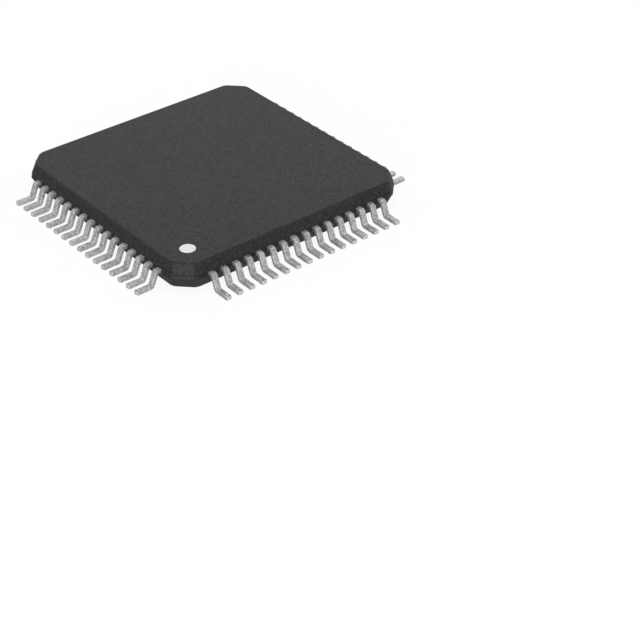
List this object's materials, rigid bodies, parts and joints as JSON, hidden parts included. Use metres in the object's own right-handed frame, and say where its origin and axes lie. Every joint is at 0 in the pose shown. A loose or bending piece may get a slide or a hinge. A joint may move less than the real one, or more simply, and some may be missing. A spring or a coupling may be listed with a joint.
{
  "type": "integrated circuit in a thin quad flat package with exposed pad",
  "caption": "Surface-mount chip: thin square moulded body, gull-wing leads on all sides, cut corners, white dot at pin 1, exposed thermal pad underneath.",
  "frame": {"origin": "middle of the seating plane, the plane of the undersides of the feet", "axes": "+Z away from the board, through the marked top face; the marked corner, with lead 1 beside it on the -Y side, is at -X -Y"},
  "size_m": [0.012, 0.012, 0.0011],
  "materials": {
    "mold_compound": "fine-grained matt, charcoal grey",
    "tinned_lead": "matt tin plating on copper",
    "plated_pad": "pale matt tin plating on copper",
    "white_ink": "matt white ink",
    "silicon": "polished silicon",
    "die_adhesive": "silver-filled adhesive",
    "bond_wire": "drawn gold"
  },
  "bodies": {
    "root": {"mold_body": "mold_compound", "die_pad": "plated_pad", "silicon_die": "silicon", "die_attach": "die_adhesive", "pin_1_mark": "white_ink", "leads_01_04": "tinned_lead", "leads_05_08": "tinned_lead", "leads_09_12": "tinned_lead", "leads_13_16": "tinned_lead", "leads_17_20": "tinned_lead", "leads_21_24": "tinned_lead", "leads_25_28": "tinned_lead", "leads_29_32": "tinned_lead", "leads_33_36": "tinned_lead", "leads_37_40": "tinned_lead", "leads_41_44": "tinned_lead", "leads_45_48": "tinned_lead", "leads_49_52": "tinned_lead", "leads_53_56": "tinned_lead", "leads_57_60": "tinned_lead", "leads_61_64": "tinned_lead", "bond_wires_01_04": "bond_wire", "bond_wires_05_08": "bond_wire", "bond_wires_09_12": "bond_wire", "bond_wires_13_16": "bond_wire", "bond_wires_17_20": "bond_wire", "bond_wires_21_24": "bond_wire", "bond_wires_25_28": "bond_wire", "bond_wires_29_32": "bond_wire", "bond_wires_33_36": "bond_wire", "bond_wires_37_40": "bond_wire", "bond_wires_41_44": "bond_wire", "bond_wires_45_48": "bond_wire", "bond_wires_49_52": "bond_wire", "bond_wires_53_56": "bond_wire", "bond_wires_57_60": "bond_wire", "bond_wires_61_64": "bond_wire"}
  },
  "joints": []
}
